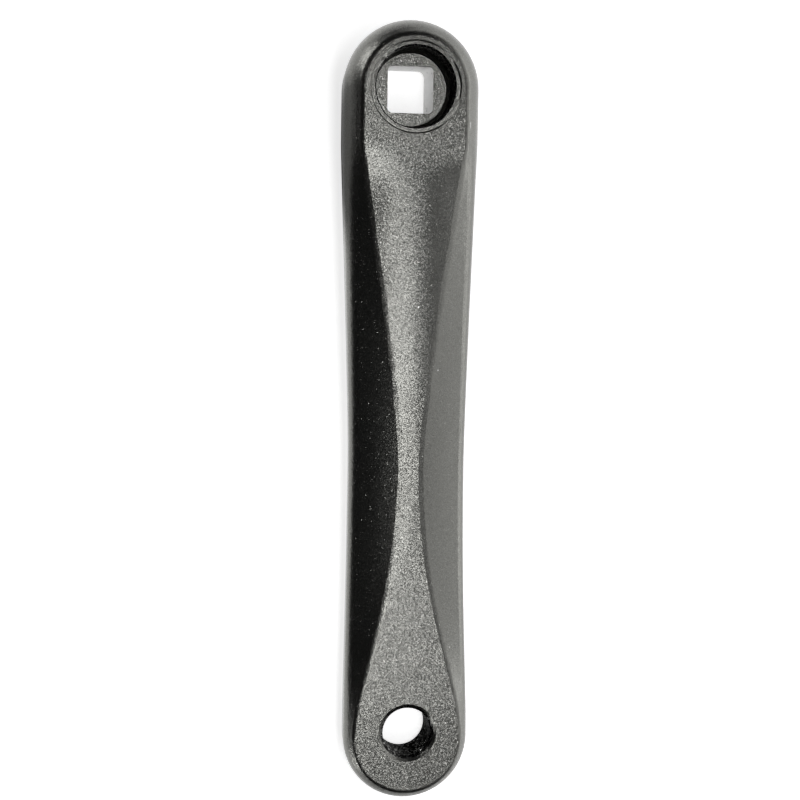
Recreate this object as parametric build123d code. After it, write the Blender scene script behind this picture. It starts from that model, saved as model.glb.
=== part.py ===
from build123d import *
from dataclasses import astuple, dataclass
from math import pi, radians, sin, tan
import os

# Left-hand bicycle crank arm, one aluminium forging, in millimetres.
# The spindle axis is Z, and the origin lies on it in the back face of the boss.
# +Z points away from the bicycle, and the arm runs along -Y to the pedal eye.

# Reach
CRANK_LENGTH = 170.0  # spindle axis to pedal axis
WAIST_STATION = 98.0  # spindle axis to the narrowest place of the front land

# Spindle boss
BOSS_RADIUS = 18.3
BOSS_THICKNESS = 26.4
BOSS_RUN = 12.5  # how far the boss's section carries on towards the arm
BOSS_LEAD = 1.0  # and how far into the arm, so that the two meet without a kink
BOSS_EDGE_WIDTH = 4.4  # rolled edge, from the front face out to the side
BOSS_EDGE_DROP = 4.7
BOSS_EDGE_ROUND = 4.2
BOSS_LAND_ROUND = 0.8
BOSS_PAD_RADIUS = 14.6  # machined pad around the mouth of the socket
BOSS_PAD_HEIGHT = 3.5
BOSS_PAD_BREAK = 0.8

# Waist of the arm
WAIST_HALF_WIDTH = 15.8
WAIST_THICKNESS = 13.6
WAIST_LAND = 2.7  # half width of the front land
WAIST_LAND_ROUND = 0.7
WAIST_EDGE_DROP = 5.4  # from the land down to the shoulder
WAIST_EDGE_ROUND = 2.6
FACET_BULGE = 0.4  # the facets beside the land swell this far at the waist
CROWN_RADIUS = 52.0  # the land above the waist is crowned across its width
CROWN_RUN = 14.0  # the crown grows over this length where the land leaves the boss

# Pedal eye
EYE_RADIUS = 16.8
EYE_THICKNESS = 13.6
EYE_RISE = 2.0  # the eye's front face stands this far outboard of the boss's
EYE_END_OFFSET = 1.7  # the round end is struck from this far past the pedal axis
EYE_EDGE_WIDTH = 2.3
EYE_EDGE_DROP = 2.8
EYE_EDGE_ROUND = 1.9
EYE_LAND_ROUND = 0.6

# Back of the forging
DRAFT_ANGLE = 5.5  # the sides draw in from the shoulder to the back
BACK_BREAK = 1.5  # 45 degree break along the back edge

# Square-taper socket
SOCKET_SQUARE = 12.2  # across the flats at the small end
SOCKET_ANGLE = 2.0  # each side to the axis
SOCKET_CORNER_RADIUS = 1.3  # there too

# Extractor thread, M22 x 1
EXTRACTOR_MAJOR = 22.0
EXTRACTOR_PITCH = 1.0
EXTRACTOR_DEPTH = 9.0  # front face to the bolt seat
COUNTERBORE_RADIUS = 11.7  # of its floor; its wall leans out at 45 degrees
COUNTERBORE_DEPTH = 0.4
MOUTH_BREAK = 0.3  # 45 degree lead into the thread
SEAT_BREAK = 0.9  # 45 degree corner round the bolt seat

# Pedal thread, 9/16 inch x 20 threads per inch, left-handed
PEDAL_MAJOR = 14.2875
PEDAL_PITCH = 1.27
PEDAL_LEAD_RADIUS = 7.8  # countersink on each face

# Both threads are left at their minor diameter, this many pitches below the major one
THREAD_DEPTH = 1.0825
EXTRACTOR_RADIUS = (EXTRACTOR_MAJOR - THREAD_DEPTH * EXTRACTOR_PITCH) / 2
PEDAL_RADIUS = (PEDAL_MAJOR - THREAD_DEPTH * PEDAL_PITCH) / 2

# Heights and stations that follow from the sizes
BOLT_SEAT = BOSS_THICKNESS - EXTRACTOR_DEPTH
COUNTERBORE_FLOOR = BOSS_THICKNESS - COUNTERBORE_DEPTH
EYE_FRONT = BOSS_THICKNESS + EYE_RISE
EYE_BACK = EYE_FRONT - EYE_THICKNESS
EYE_END = CRANK_LENGTH + EYE_END_OFFSET
ARM_START = BOSS_RUN + BOSS_LEAD

# Sections in each stretch of the arm, and how early its curves leave and settle
UPPER_STEPS = 12
UPPER_EASE = (0.07, 0.8)
LOWER_STEPS = 12
LOWER_EASE = (0.52, 0.8)

ROUND_FILL = 0.95  # the most of a section's side that its two rounded corners take up
CUT_OVER = 1.0  # how far each cutter runs past the face that it enters
UPWARD = (Align.CENTER, Align.CENTER, Align.MIN)


def fitting_rounds(corners, rounds):
    """The set-backs of the inner corners, drawn in where two of them would meet on a short side."""
    set_backs = [0, *rounds, 0]
    sides = [(b - a).length for a, b in zip(corners, corners[1:])]
    room = [min(1, ROUND_FILL * side / (a + b)) for side, a, b in zip(sides, set_backs, set_backs[1:])]
    return [size * min(before, after) for size, before, after in zip(rounds, room, room[1:])]


def rounded(before, corner, after, size):
    """A corner rounded off over a set-back along both of its sides."""
    arrive = corner + (before - corner).normalized() * size
    leave = corner + (after - corner).normalized() * size
    return Bezier(arrive, corner, leave)


@dataclass
class Section:
    """Cross-section of the forging: half widths, heights and the set-back of its rounded corners."""

    land: float
    land_round: float
    front: float
    shoulder: float
    shoulder_round: float
    shoulder_height: float
    back: float
    crown: float = 0.0
    bulge: float = 0.0

    def blend(self, other, weight):
        pairs = zip(astuple(self), astuple(other))
        return Section(*(a + (b - a) * weight for a, b in pairs))

    def half_edges(self, side=1):
        """Half of the outline on one side, from the middle of the land round to the middle of the back."""
        heel = self.back + BACK_BREAK
        foot = self.shoulder - tan(radians(DRAFT_ANGLE)) * (self.shoulder_height - heel)
        middle = Vector(0, self.front + self.crown)
        land = Vector(side * self.land, self.front - self.crown)
        shoulder = Vector(side * self.shoulder, self.shoulder_height)
        wall = [Vector(side * foot, heel), Vector(side * (foot - BACK_BREAK), self.back), Vector(0, self.back)]
        corners = [middle, land, shoulder, wall[0]]
        land_size, shoulder_size = fitting_rounds(corners, [self.land_round, self.shoulder_round])
        slope = shoulder - land
        along = slope.normalized()
        outward = Vector(-along.Y, along.X) * side
        belly = land + along * (slope.length + land_size - shoulder_size) / 2 + outward * 2 * self.bulge
        land_edge = rounded(middle, land, belly, land_size)
        shoulder_edge = rounded(belly, shoulder, wall[0], shoulder_size)
        ends = land_edge @ 1, shoulder_edge @ 0
        facet = Bezier(ends[0], belly, ends[1]) if self.bulge else Line(*ends)
        path = [shoulder_edge @ 1, *wall]
        lines = [Line(a, b) for a, b in zip(path, path[1:])]
        return [Line(middle, land_edge @ 0), land_edge, facet, shoulder_edge, *lines]

    def face(self):
        """The whole outline. A parabola crowns the land, and the back is one straight edge."""
        land, *right, back = self.half_edges()
        far_land, *left, far_back = self.half_edges(side=-1)
        if self.crown:
            top = Bezier(far_land @ 1, land @ 0, land @ 1)
        else:
            top = Line(far_land @ 1, land @ 1)
        return make_face([top, *right, Line(back @ 0, far_back @ 0), *left])

    def half_face(self):
        """The half outline closed along its middle, for turning about that line."""
        edges = self.half_edges()
        return make_face([*edges, Line(edges[-1] @ 1, edges[0] @ 0)])


def front_height(station):
    """The front runs straight from the boss's face to the eye's."""
    share = (station - ARM_START) / (CRANK_LENGTH - ARM_START)
    return BOSS_THICKNESS + EYE_RISE * share


BOSS = Section(
    land=BOSS_RADIUS - BOSS_EDGE_WIDTH,
    land_round=BOSS_LAND_ROUND,
    front=BOSS_THICKNESS,
    shoulder=BOSS_RADIUS,
    shoulder_round=BOSS_EDGE_ROUND,
    shoulder_height=BOSS_THICKNESS - BOSS_EDGE_DROP,
    back=BOSS_PAD_HEIGHT,
)
WAIST_FRONT = front_height(WAIST_STATION)
WAIST = Section(
    land=WAIST_LAND,
    land_round=WAIST_LAND_ROUND,
    front=WAIST_FRONT,
    shoulder=WAIST_HALF_WIDTH,
    shoulder_round=WAIST_EDGE_ROUND,
    shoulder_height=WAIST_FRONT - WAIST_EDGE_DROP,
    back=WAIST_FRONT - WAIST_THICKNESS,
)
EYE = Section(
    land=EYE_RADIUS - EYE_EDGE_WIDTH,
    land_round=EYE_LAND_ROUND,
    front=EYE_FRONT,
    shoulder=EYE_RADIUS,
    shoulder_round=EYE_EDGE_ROUND,
    shoulder_height=EYE_FRONT - EYE_EDGE_DROP,
    back=EYE_BACK,
)


def ease(step, handles):
    """How far along a stretch a step lies, and how far its section has changed, both from 0 to 1."""
    rest = 1 - step
    leave, settle = handles
    along = 3 * rest**2 * step * leave + 3 * rest * step**2 * settle + step**3
    change = 3 * step**2 - 2 * step**3
    return along, change


def rise(share):
    """A smooth climb from 0 to 1."""
    return sin(pi / 2 * min(share, 1)) ** 2


def arm_sections():
    """Stations from the end of the boss to the round end of the eye, each with its section."""
    yield BOSS_RUN, BOSS
    for step in range(UPPER_STEPS):
        along, change = ease(step / UPPER_STEPS, UPPER_EASE)
        run = along * (WAIST_STATION - ARM_START)
        section = BOSS.blend(WAIST, change)
        section.front = front_height(ARM_START + run)
        section.crown = rise(run / CROWN_RUN) * section.land**2 / (2 * CROWN_RADIUS)
        section.bulge = FACET_BULGE * change**3
        yield ARM_START + run, section
    for step in range(LOWER_STEPS):
        along, change = ease(step / LOWER_STEPS, LOWER_EASE)
        section = WAIST.blend(EYE, change)
        section.crown = (1 - rise(2 * change)) * WAIST_LAND**2 / (2 * CROWN_RADIUS)
        section.bulge = FACET_BULGE * (1 - change) ** 3
        yield WAIST_STATION + along * (EYE_END - WAIST_STATION), section
    yield EYE_END, EYE


def round_end(section, station, turn):
    """Half a turn of an end section about its own axis."""
    profile = Plane.XZ.offset(station) * section.half_face()
    return revolve(profile, Axis((0, -station, 0), (0, 0, 1)), turn)


def forging():
    """The forged arm: the boss with the pad behind it, a loft along the shank and the end of the eye."""
    pad = Cylinder(BOSS_PAD_RADIUS, BOSS_PAD_HEIGHT + CUT_OVER, align=UPWARD)
    pad = chamfer(pad.edges().group_by(Axis.Z)[0], BOSS_PAD_BREAK)
    boss = round_end(BOSS, 0, 180) + extrude(Plane.XZ * BOSS.face(), BOSS_RUN) + pad
    shank = loft([Plane.XZ.offset(station) * section.face() for station, section in arm_sections()])
    return boss + shank + round_end(EYE, EYE_END, -180)


def spindle_cutter():
    """Counterbore, extractor bore down to the bolt seat, and the tapered square below it."""
    top = BOSS_THICKNESS + CUT_OVER
    profile = Polyline(
        (0, BOLT_SEAT),
        (EXTRACTOR_RADIUS - SEAT_BREAK, BOLT_SEAT),
        (EXTRACTOR_RADIUS, BOLT_SEAT + SEAT_BREAK),
        (EXTRACTOR_RADIUS, COUNTERBORE_FLOOR - MOUTH_BREAK),
        (EXTRACTOR_RADIUS + MOUTH_BREAK, COUNTERBORE_FLOOR),
        (COUNTERBORE_RADIUS, COUNTERBORE_FLOOR),
        (COUNTERBORE_RADIUS + COUNTERBORE_DEPTH + CUT_OVER, top),
        (0, top),
        close=True,
    )
    recess = revolve(Plane.XZ * make_face(profile), Axis.Z)
    depth = BOLT_SEAT + CUT_OVER
    spread = depth * tan(radians(SOCKET_ANGLE))
    mouth = SOCKET_SQUARE + 2 * spread
    outline = RectangleRounded(mouth, mouth, SOCKET_CORNER_RADIUS + spread)
    square = extrude(outline, depth, taper=SOCKET_ANGLE)
    return recess + Pos(0, 0, -CUT_OVER) * square


def pedal_cutter():
    """Hole through the eye with a 45 degree countersink on each face."""
    lead = PEDAL_LEAD_RADIUS - PEDAL_RADIUS
    wide = PEDAL_LEAD_RADIUS + CUT_OVER
    profile = Polyline(
        (0, EYE_BACK - CUT_OVER),
        (wide, EYE_BACK - CUT_OVER),
        (PEDAL_RADIUS, EYE_BACK + lead),
        (PEDAL_RADIUS, EYE_FRONT - lead),
        (wide, EYE_FRONT + CUT_OVER),
        (0, EYE_FRONT + CUT_OVER),
        close=True,
    )
    return Pos(0, -CRANK_LENGTH, 0) * revolve(Plane.XZ * make_face(profile), Axis.Z)


crank_arm = forging() - spindle_cutter() - pedal_cutter()

os.makedirs("parts", exist_ok=True)
export_step(crank_arm, "parts/crank_arm.step")
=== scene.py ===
from math import atan2, cos, hypot, pi, radians, sin, tan

import bpy
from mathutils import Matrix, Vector


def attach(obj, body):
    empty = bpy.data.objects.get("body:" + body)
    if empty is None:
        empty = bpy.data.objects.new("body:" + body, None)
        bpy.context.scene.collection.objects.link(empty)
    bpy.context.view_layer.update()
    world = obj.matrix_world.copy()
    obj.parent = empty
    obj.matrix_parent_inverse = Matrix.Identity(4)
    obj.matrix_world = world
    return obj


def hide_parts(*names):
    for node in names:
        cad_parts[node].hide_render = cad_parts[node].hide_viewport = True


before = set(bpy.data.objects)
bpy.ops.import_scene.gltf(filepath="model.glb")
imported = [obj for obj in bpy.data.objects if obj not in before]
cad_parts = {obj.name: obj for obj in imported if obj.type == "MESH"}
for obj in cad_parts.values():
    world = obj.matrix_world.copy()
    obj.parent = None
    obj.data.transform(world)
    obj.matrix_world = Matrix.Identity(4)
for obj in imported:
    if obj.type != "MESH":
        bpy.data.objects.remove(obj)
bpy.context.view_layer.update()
bpy.context.scene.view_settings.view_transform = "Standard"


# Forged arm
# The whole crank arm is one aluminium forging: a boss for the spindle, a shank with a waisted front
# land, and an eye for the pedal. It is copied from the solid, with the solid's own smooth normals.
MERGE = 1e-6


def activate(piece):
    """Selects one object alone and makes it the active one."""
    bpy.ops.object.select_all(action="DESELECT")
    bpy.context.view_layer.objects.active = piece
    piece.select_set(True)


def apply_modifier(piece, kind, **values):
    """Adds a modifier to an object, sets it and applies it."""
    activate(piece)
    modifier = piece.modifiers.new(kind.lower(), kind)
    for name, value in values.items():
        setattr(modifier, name, value)
    bpy.ops.object.modifier_apply(modifier=modifier.name)


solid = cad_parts["crank_arm"]
arm = bpy.data.objects.new("forged_arm", solid.data.copy())
bpy.context.collection.objects.link(arm)
arm.data.materials.clear()
activate(arm)
bpy.ops.object.mode_set(mode="EDIT")
bpy.ops.mesh.select_all(action="SELECT")
bpy.ops.mesh.remove_doubles(threshold=MERGE)
bpy.ops.object.mode_set(mode="OBJECT")
apply_modifier(
    arm,
    "DATA_TRANSFER",
    object=solid,
    use_loop_data=True,
    data_types_loops={"CUSTOM_NORMAL"},
    loop_mapping="TOPOLOGY",
)


# Tapped threads
# The extractor thread in the mouth of the boss and the left-handed pedal thread in the eye. Each is
# cut by a tap, whose pointed tooth runs along a helix through the bore that the forging already has.
EXTRACTOR = {
    "axis": 0.0,
    "minor": 0.010459,
    "major": 0.011,
    "pitch": 0.001,
    "foot": 0.0188,
    "head": 0.0262,
    "right_handed": True,
}
PEDAL = {
    "axis": -0.170,
    "minor": 0.006456,
    "major": 0.0071438,
    "pitch": 0.00127,
    "foot": 0.0138,
    "head": 0.0294,
    "right_handed": False,
}
THREADS = (EXTRACTOR, PEDAL)
STEPS_PER_TURN = 56
FLANK_ANGLE = radians(30)  # of each side of the tooth
ROOT_FLAT = 0.125  # of a pitch, at the bottom of the groove
GROOVE = 0.75  # of a pitch, at the wall of the bore
TOOTH_OVER = 0.00015  # how far the tooth stands inside the bore
SHARP_EDGE = radians(25)
NEAR = 6e-5


def cut_thread(axis, minor, major, pitch, foot, head, right_handed):
    """Runs a tap through a bore of the arm and takes it away again."""
    inner = minor - TOOTH_OVER
    width = GROOVE * pitch + 2 * TOOTH_OVER * tan(FLANK_ANGLE)
    turns = (head - foot) / pitch
    steps = round(turns * STEPS_PER_TURN)
    start, climb = (foot, head - foot) if right_handed else (head, foot - head)
    bpy.ops.object.select_all(action="DESELECT")
    middle = ((inner + major) / 2, 0, start)
    bpy.ops.mesh.primitive_plane_add(size=1, location=middle, rotation=(pi / 2, 0, 0))
    tap = bpy.context.object
    tap.scale = (major - inner, width, 1)
    bpy.ops.object.transform_apply()
    bpy.ops.object.mode_set(mode="EDIT")
    bpy.ops.mesh.select_all(action="DESELECT")
    bpy.ops.object.mode_set(mode="OBJECT")
    for vertex in tap.data.vertices:
        vertex.select = vertex.co.x > minor
    bpy.ops.object.mode_set(mode="EDIT")
    bpy.ops.transform.resize(value=(1, 1, ROOT_FLAT * pitch / width))
    bpy.ops.object.mode_set(mode="OBJECT")
    helix = {"angle": 2 * pi * turns, "screw_offset": climb, "steps": steps, "render_steps": steps}
    apply_modifier(tap, "SCREW", **helix)
    bpy.ops.object.mode_set(mode="EDIT")
    bpy.ops.mesh.select_all(action="SELECT")
    bpy.ops.mesh.fill_holes(sides=4)
    bpy.ops.mesh.select_all(action="SELECT")
    bpy.ops.mesh.normals_make_consistent(inside=False)
    bpy.ops.object.mode_set(mode="OBJECT")
    tap.location.y = axis
    bpy.ops.object.transform_apply()
    apply_modifier(arm, "BOOLEAN", object=tap, operation="DIFFERENCE", solver="EXACT")
    bpy.data.objects.remove(tap)


def in_thread(point, axis, minor, major, foot, head, **unused):
    """Whether a point of the arm lies on a thread or on the wall of its bore."""
    radius = hypot(point.x, point.y - axis)
    return minor - NEAR < radius < major + NEAR and foot < point.z < head


def in_any_thread(point):
    """Whether a point of the arm lies on either thread."""
    return any(in_thread(point, **thread) for thread in THREADS)


master = bpy.data.objects.new("untapped_arm", arm.data.copy())
bpy.context.collection.objects.link(master)
for thread in THREADS:
    cut_thread(**thread)
activate(arm)
bpy.ops.mesh.customdata_custom_splitnormals_clear()
bpy.ops.object.shade_smooth_by_angle(angle=SHARP_EDGE)
untouched = arm.vertex_groups.new(name="untouched")
plain = [vertex.index for vertex in arm.data.vertices if not in_any_thread(vertex.co)]
untouched.add(plain, 1.0, "REPLACE")
apply_modifier(
    arm,
    "DATA_TRANSFER",
    object=master,
    use_loop_data=True,
    data_types_loops={"CUSTOM_NORMAL"},
    loop_mapping="NEAREST_POLYNOR",
    vertex_group=untouched.name,
)
bpy.data.objects.remove(master)
arm.vertex_groups.clear()


# Blasted finish
# The arm is bead-blasted and then anodised dark grey. Each dent of the blasting is a tiny facet of
# metal that throws the light its own way, a few steeply, and handling has left some pale nicks.
FILM_DARK = (0.130, 0.130, 0.1215, 1)
FILM_LIGHT = (0.190, 0.190, 0.1775, 1)
FILM_ROUGHNESS = 0.276
HAZE = 0.015  # how much rougher the film is in places
HAZE_PER_METRE = 70.0
HAZE_DETAIL = 3.0
BLASTED_FACETS = {"Density": 7000.0, "Lean": 0.22, "Steep Lean": 0.90}  # density is per metre
STEEP_RARITY = 40
HALF = (0.5, 0.5, 0.5)  # taken off a random colour, so that facets lean every way
NICK_COLOUR = (0.48, 0.48, 0.47, 1)
SPECKS = {"Density": (200, 200, 200), "Size": 0.04, "Share": 0.5}
SCRATCHES = {"Density": (220, 30, 220), "Size": 0.03, "Share": 0.5}


def feed(tree, socket, term):
    """Links another node's output to a socket, or sets the socket to a given value."""
    if isinstance(term, bpy.types.NodeSocket):
        tree.links.new(term, socket)
    else:
        socket.default_value = term


def add_node(tree, kind, **values):
    """A node in a tree, with its properties set and its input sockets fed by name."""
    node = tree.nodes.new(kind)
    for name, value in values.items():
        if name in node.inputs:
            feed(tree, node.inputs[name], value)
        else:
            setattr(node, name, value)
    return node


def add_math(tree, operation, *terms):
    """The outcome of a Math node, whose terms are numbers or other nodes' outputs."""
    node = add_node(tree, "ShaderNodeMath", operation=operation)
    for socket, term in zip(node.inputs, terms):
        feed(tree, socket, term)
    return node.outputs[0]


def add_vector_math(tree, operation, *terms):
    """The outputs of a Vector Math node, whose terms are vectors or other nodes' outputs."""
    node = add_node(tree, "ShaderNodeVectorMath", operation=operation)
    for socket, term in zip(node.inputs, terms):
        feed(tree, socket, term)
    return node.outputs


def add_mix(tree, factor, first, second):
    """A colour that runs from a first colour to a second, given or other nodes' outputs."""
    node = add_node(tree, "ShaderNodeMix", data_type="RGBA", Factor=factor)
    feed(tree, node.inputs[6], first)
    feed(tree, node.inputs[7], second)
    return node.outputs[2]


def object_place(tree):
    """The place of each point in the piece's own frame."""
    return add_node(tree, "ShaderNodeTexCoord").outputs["Object"]


def new_group(name, inputs, outputs):
    """An empty node group, with the sockets of what it is given and of what it puts out."""
    group = bpy.data.node_groups.new(name, "ShaderNodeTree")
    for side, sockets in (("INPUT", inputs), ("OUTPUT", outputs)):
        for socket, kind in sockets.items():
            group.interface.new_socket(socket, in_out=side, socket_type="NodeSocket" + kind)
    given = add_node(group, "NodeGroupInput").outputs
    result = add_node(group, "NodeGroupOutput").inputs
    return group, given, result


def new_material(name, kind, **values):
    """A material of one shader, with its node tree and that shader."""
    material = bpy.data.materials.new(name)
    material.use_nodes = True
    tree = material.node_tree
    tree.nodes.clear()
    shader = add_node(tree, kind, **values)
    add_node(tree, "ShaderNodeOutputMaterial", Surface=shader.outputs[0])
    return material, tree, shader


facets, given, result = new_group(
    "blasted_facets",
    {"Density": "Float", "Lean": "Float", "Steep Lean": "Float"},
    {"Normal": "Vector", "Shade": "Float"},
)
place = object_place(facets)
dents = add_node(facets, "ShaderNodeTexVoronoi", Vector=place, Scale=given["Density"]).outputs
chance = add_node(facets, "ShaderNodeTexWhiteNoise", Vector=dents["Position"]).outputs
rarely = add_math(facets, "POWER", chance["Value"], STEEP_RARITY)
steep = add_math(facets, "MULTIPLY", rarely, given["Steep Lean"])
lean = add_node(facets, "ShaderNodeVectorMath", operation="SCALE")
feed(facets, lean.inputs[0], add_vector_math(facets, "SUBTRACT", dents["Color"], HALF)[0])
feed(facets, lean.inputs["Scale"], add_math(facets, "ADD", steep, given["Lean"]))
upright = add_node(facets, "ShaderNodeNewGeometry").outputs["Normal"]
leaning = add_vector_math(facets, "ADD", lean.outputs[0], upright)[0]
feed(facets, result["Normal"], add_vector_math(facets, "NORMALIZE", leaning)[0])
shade = add_node(facets, "ShaderNodeSeparateColor", Color=chance["Color"]).outputs["Green"]
feed(facets, result["Shade"], shade)

strewn, given, result = new_group(
    "strewn_marks",
    {"Density": "Vector", "Size": "Float", "Share": "Float"},
    {"Mask": "Float"},
)
place = object_place(strewn)
spread = add_node(strewn, "ShaderNodeMapping", Vector=place, Scale=given["Density"])
cells = add_node(strewn, "ShaderNodeTexVoronoi", Vector=spread.outputs[0], Scale=1.0).outputs
lot = add_node(strewn, "ShaderNodeSeparateColor", Color=cells["Color"]).outputs["Red"]
inside = add_math(strewn, "LESS_THAN", cells["Distance"], given["Size"])
drawn = add_math(strewn, "LESS_THAN", lot, given["Share"])
feed(strewn, result["Mask"], add_math(strewn, "MULTIPLY", inside, drawn))


def add_facets(tree, shader, values):
    """Lays the facets over a shader and returns the shade that each of them has."""
    group = add_node(tree, "ShaderNodeGroup", node_tree=facets, **values)
    feed(tree, shader.inputs["Normal"], group.outputs["Normal"])
    return group.outputs["Shade"]


def add_marks(tree, values):
    """A mask of small marks: how big one is in its cell, and in what share of the cells it is."""
    return add_node(tree, "ShaderNodeGroup", node_tree=strewn, **values).outputs["Mask"]


blasted, tree, shader = new_material("blasted_anodised", "ShaderNodeBsdfPrincipled", Metallic=1.0)
film = add_mix(tree, add_facets(tree, shader, BLASTED_FACETS), FILM_DARK, FILM_LIGHT)
nicks = add_math(tree, "MAXIMUM", add_marks(tree, SPECKS), add_marks(tree, SCRATCHES))
feed(tree, shader.inputs["Base Color"], add_mix(tree, nicks, film, NICK_COLOUR))
place = object_place(tree)
cloud = add_node(tree, "ShaderNodeTexNoise", Vector=place, Scale=HAZE_PER_METRE, Detail=HAZE_DETAIL)
haze = add_math(tree, "MULTIPLY", cloud.outputs[0], HAZE)
feed(tree, shader.inputs["Roughness"], add_math(tree, "ADD", haze, FILM_ROUGHNESS))


# Machined places
# The seat of the bolt is spot-faced with the step round it, the threads are tapped, dark and smooth,
# and the square is broached last, so its walls are bare aluminium with fine marks along the cut.
SEAT_DARK = (0.15, 0.15, 0.141, 1)
SEAT_LIGHT = (0.23, 0.23, 0.216, 1)
CUT_ROUGHNESS = 0.28
THREAD_DARK = (0.006, 0.006, 0.006, 1)
THREAD_LIGHT = (0.25, 0.25, 0.24, 1)
THREAD_EDGE = (0.35, 0.35, 0.35, 1)  # what it mirrors at a low angle
THREAD_FACETS = {"Density": 2500.0, "Lean": 0.1, "Steep Lean": 0.3}
THREAD_RARITY = 4  # few of a thread's facets are light
BARE_DARK = (0.42, 0.42, 0.415, 1)
BARE_LIGHT = (0.52, 0.52, 0.515, 1)
BARE_METALLIC = 0.7
BARE_ROUGHNESS = 0.42
BROACH_LINES = (900, 900, 25)
BROACH_DETAIL = 2.0
BROACH_RELIEF = 0.15
BROACH_DEPTH = 0.0002
SMUDGE_COLOUR = (0.20, 0.20, 0.20, 1)
SMUDGES = {"Density": (500, 500, 300), "Size": 0.2, "Share": 0.3}
BOLT_SEAT = 0.0174
STEP_RADIUS = 0.0118
SOCKET_HALF = 0.0072
UPRIGHT = 0.5  # a wall's normal rises by less than this,
LEVEL = 0.999  # and a level face's by more than this

faced, tree, shader = new_material(
    "faced_seat", "ShaderNodeBsdfPrincipled", Metallic=1.0, Roughness=CUT_ROUGHNESS
)
film = add_mix(tree, add_facets(tree, shader, BLASTED_FACETS), SEAT_DARK, SEAT_LIGHT)
feed(tree, shader.inputs["Base Color"], film)

threaded, tree, shader = new_material(
    "tapped_thread", "ShaderNodeBsdfPrincipled", Metallic=1.0, Roughness=CUT_ROUGHNESS
)
feed(tree, shader.inputs["Specular Tint"], THREAD_EDGE)
rarely = add_math(tree, "POWER", add_facets(tree, shader, THREAD_FACETS), THREAD_RARITY)
feed(tree, shader.inputs["Base Color"], add_mix(tree, rarely, THREAD_DARK, THREAD_LIGHT))

broached, tree, shader = new_material(
    "broached_socket", "ShaderNodeBsdfPrincipled", Metallic=BARE_METALLIC, Roughness=BARE_ROUGHNESS
)
along = add_node(tree, "ShaderNodeMapping", Vector=object_place(tree), Scale=BROACH_LINES).outputs[0]
lines = add_node(tree, "ShaderNodeTexNoise", Vector=along, Scale=1.0, Detail=BROACH_DETAIL).outputs[0]
relief = add_node(
    tree, "ShaderNodeBump", Height=lines, Strength=BROACH_RELIEF, Distance=BROACH_DEPTH
)
feed(tree, shader.inputs["Normal"], relief.outputs["Normal"])
bare = add_mix(tree, lines, BARE_DARK, BARE_LIGHT)
smudged = add_mix(tree, add_marks(tree, SMUDGES), bare, SMUDGE_COLOUR)
feed(tree, shader.inputs["Base Color"], smudged)

finishes = [blasted, faced, threaded, broached]
for material in finishes:
    arm.data.materials.append(material)
for face in arm.data.polygons:
    x, y, z = face.center
    lift = abs(face.normal.z)
    in_step = hypot(x, y) < STEP_RADIUS and z > BOLT_SEAT - NEAR
    in_socket = max(abs(x), abs(y)) < SOCKET_HALF and z < BOLT_SEAT
    if lift > LEVEL and in_step:
        face.material_index = finishes.index(faced)
    elif lift <= LEVEL and in_any_thread(face.center):
        face.material_index = finishes.index(threaded)
    elif lift < UPRIGHT and in_socket:
        face.material_index = finishes.index(broached)

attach(arm, "root")
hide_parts("crank_arm")


# Table
# A matt white table top. The loose arm lies on it on the edge of the pad behind its boss and on the
# far edge of the pedal eye, so the table slopes a little against the arm's own axes.
TABLE_SIZE = 0.44
TABLE_REACH = 0.085  # from the heel of the boss to the middle of the sheet
TABLE_COLOUR = (0.86, 0.86, 0.86, 1)
TABLE_GLOW = 0.73  # what lifts the seen table to white; it lights nothing
MIRRORED_PAINTED_GLOW = 0.9  # the painted glow of the table that the metal mirrors
PAINTED_LIGHT_FROM = -0.15  # painted light: the mirrored table is bright on the right, and painted dark far out on the left,
PAINTED_LIGHT_TO = -0.06
PAINTED_FRONT_SHADE_FROM = -0.22  # painted dark in front of the eye,
PAINTED_FRONT_SHADE_TO = -0.19
PAINTED_SHADE_MIDDLE = (-0.07, -0.016, 0.0)  # and painted shade in a patch to the left of the boss
PAINTED_SHADE_REACH = (0.09, 0.034, 1.0)
PAINTED_SHADE_CORE = 0.6  # of the painted shade patch that is wholly dark
FLAT = 1e-5


def add_ramp(tree, value, span, levels):
    """A smooth change of level while a value crosses a span."""
    node = add_node(tree, "ShaderNodeMapRange", interpolation_type="SMOOTHSTEP", Value=value)
    names = ("From Min", "From Max", "To Min", "To Max")
    for name, number in zip(names, (*span, *levels)):
        node.inputs[name].default_value = number
    return node.outputs["Result"]


points = [vertex.co for vertex in solid.data.vertices]
underside = min(point.z for point in points)
heel = min((point for point in points if point.z < underside + FLAT), key=lambda point: point.y)
beyond = [point for point in points if point.y < heel.y - FLAT]
slope = min(atan2(point.z - heel.z, heel.y - point.y) for point in beyond)

bpy.ops.object.select_all(action="DESELECT")
middle = heel + Vector((0, -cos(slope), sin(slope))) * TABLE_REACH
bpy.ops.mesh.primitive_plane_add(size=TABLE_SIZE, location=middle, rotation=(-slope, 0, 0))
table = bpy.context.object
table.name = "table"
material, tree, both = new_material("white_table", "ShaderNodeAddShader")
path = add_node(tree, "ShaderNodeLightPath").outputs
mirrored = add_math(tree, "MAXIMUM", path["Is Glossy Ray"], path["Is Transmission Ray"])
position = add_node(tree, "ShaderNodeNewGeometry").outputs["Position"]
spot = add_node(tree, "ShaderNodeSeparateXYZ", Vector=position).outputs
offset = add_vector_math(tree, "SUBTRACT", position, PAINTED_SHADE_MIDDLE)[0]
share = add_vector_math(tree, "DIVIDE", offset, PAINTED_SHADE_REACH)[0]
reach = add_vector_math(tree, "LENGTH", share)["Value"]
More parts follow.
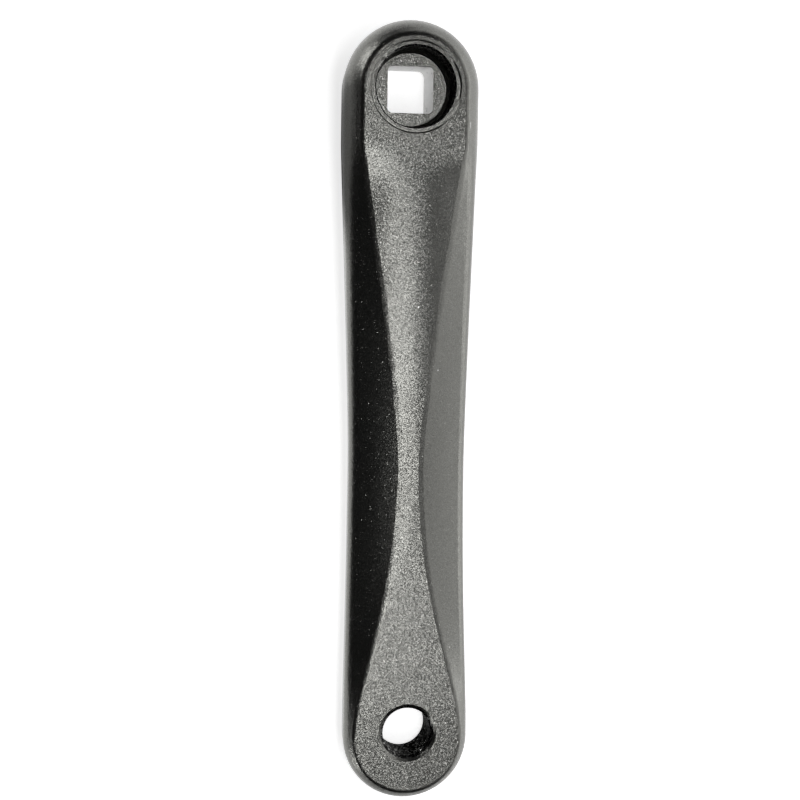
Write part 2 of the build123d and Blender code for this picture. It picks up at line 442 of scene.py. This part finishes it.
# The glow that the metal mirrors is painted light and shade: bright on the right, painted dark far
# out on the left, in front of the eye and in a patch left of the boss.
painted_light = add_ramp(tree, spot["X"], (PAINTED_LIGHT_FROM, PAINTED_LIGHT_TO), (0, MIRRORED_PAINTED_GLOW))
painted_front_shade = add_ramp(tree, spot["Y"], (PAINTED_FRONT_SHADE_FROM, PAINTED_FRONT_SHADE_TO), (0, 1))
clear = add_ramp(tree, reach, (PAINTED_SHADE_CORE, 1), (0, 1))
painted_mirror_level = add_math(tree, "MULTIPLY", painted_light, add_math(tree, "MULTIPLY", painted_front_shade, clear))
mirrored_level = add_math(tree, "MULTIPLY", mirrored, painted_mirror_level)
seen_level = add_math(tree, "MULTIPLY", path["Is Camera Ray"], TABLE_GLOW)
level = add_math(tree, "MAXIMUM", seen_level, mirrored_level)
top = add_node(tree, "ShaderNodeBsdfDiffuse", Color=TABLE_COLOUR)
glow = add_node(tree, "ShaderNodeEmission", Strength=level)
feed(tree, both.inputs[0], top.outputs[0])
feed(tree, both.inputs[1], glow.outputs[0])
table.data.materials.append(material)


# Studio
# A narrow soft box above the middle of the arm, low boxes behind and in front on the left, a tall
# white panel and a strip on the right, and a dark room with a pale horizon there. The camera sees
# the room as white.
SOFT_BOX_PLACE = (0.005, -0.158, 0.72)
SOFT_BOX_AIM = (0.005, -0.158, 0.0)
SOFT_BOX_SIZE = (0.10, 0.37)
SOFT_BOX_LEVEL = 13.5
SMALL_BOX_PLACE = (-0.68, 0.57, 0.07)
SMALL_BOX_SIZE = (0.40, 0.20)
SMALL_BOX_LEVEL = 7.0
PANEL_PLACE = (0.85, -0.08, 0.50)
PANEL_SIZE = (1.6, 1.0)
PANEL_LEVEL = 1.08
STRIP_PLACE = (0.55, -0.08, 0.045)
STRIP_SIZE = (1.2, 0.08)
STRIP_LEVEL = 2.0
GLINT_PLACE = (-0.45, -0.56, 0.055)
GLINT_SIZE = (0.16, 0.09)
GLINT_LEVEL = 18.0
BOSS_TOP = (0.0, 0.0, 0.025)
ARM_MIDDLE = (0.0, -0.08, 0.02)
EYE_TOP = (0.0, -0.17, 0.028)
ROOM_COLOUR = (0.003, 0.003, 0.004, 1)
WHITE = (1, 1, 1, 1)
HORIZON_LOW = 0.06  # sines of the heights where the pale horizon starts to fade and has gone
HORIZON_HIGH = 0.34
PALE_SIDE = (0.96, 0.28, 0.0)
PALE_FROM = 0.1  # cosines to the pale side where the horizon brightens first and is at its palest
PALE_TO = 0.8
DARK_LEVEL = 0.02
PALE_LEVEL = 1.15


def add_soft_light(name, place, aim, size, level):
    """An area light of one even level, turned to its aim."""
    turn = (Vector(aim) - Vector(place)).to_track_quat("-Z", "Y").to_euler()
    bpy.ops.object.light_add(type="AREA", location=place, rotation=turn)
    lamp = bpy.context.object
    lamp.name = name
    lamp.data.shape = "RECTANGLE"
    lamp.data.size, lamp.data.size_y = size
    lamp.data.energy = level * pi * size[0] * size[1]
    lamp.visible_camera = False


add_soft_light("soft_box", SOFT_BOX_PLACE, SOFT_BOX_AIM, SOFT_BOX_SIZE, SOFT_BOX_LEVEL)
add_soft_light("small_box", SMALL_BOX_PLACE, BOSS_TOP, SMALL_BOX_SIZE, SMALL_BOX_LEVEL)
add_soft_light("panel", PANEL_PLACE, ARM_MIDDLE, PANEL_SIZE, PANEL_LEVEL)
add_soft_light("strip", STRIP_PLACE, ARM_MIDDLE, STRIP_SIZE, STRIP_LEVEL)
add_soft_light("glint", GLINT_PLACE, EYE_TOP, GLINT_SIZE, GLINT_LEVEL)

world = bpy.data.worlds.new("studio")
bpy.context.scene.world = world
world.use_nodes = True
tree = world.node_tree
tree.nodes.clear()
direction = add_node(tree, "ShaderNodeTexCoord").outputs["Generated"]
height = add_node(tree, "ShaderNodeSeparateXYZ", Vector=direction).outputs["Z"]
side = add_vector_math(tree, "DOT_PRODUCT", direction, PALE_SIDE)["Value"]
low = add_ramp(tree, height, (HORIZON_LOW, HORIZON_HIGH), (1, 0))
pale = add_ramp(tree, side, (PALE_FROM, PALE_TO), (DARK_LEVEL, PALE_LEVEL))
room_colour = add_mix(tree, add_math(tree, "MULTIPLY", low, pale), ROOM_COLOUR, WHITE)
room = add_node(tree, "ShaderNodeBackground", Color=room_colour)
backdrop = add_node(tree, "ShaderNodeBackground", Color=WHITE)
seen = add_node(tree, "ShaderNodeLightPath").outputs["Is Camera Ray"]
choice = add_node(tree, "ShaderNodeMixShader", Fac=seen)
feed(tree, choice.inputs[1], room.outputs[0])
feed(tree, choice.inputs[2], backdrop.outputs[0])
add_node(tree, "ShaderNodeOutputWorld", Surface=choice.outputs[0])


# Viewpoint
# A camera with a longer lens, held almost straight above the arm, a little to its left and nearer
# to the spindle end.
CAMERA_PLACE = (-0.07833, -0.04544, 0.46688)
CAMERA_TURN = (-4.756, -9.627, 0.910)  # degrees about X, Y and Z
LENS_MM = 76.9
SENSOR_MM = 36.0

turn = [radians(angle) for angle in CAMERA_TURN]
bpy.ops.object.camera_add(location=CAMERA_PLACE, rotation=turn)
camera = bpy.context.object
camera.data.lens = LENS_MM
camera.data.sensor_width = SENSOR_MM
bpy.context.scene.camera = camera
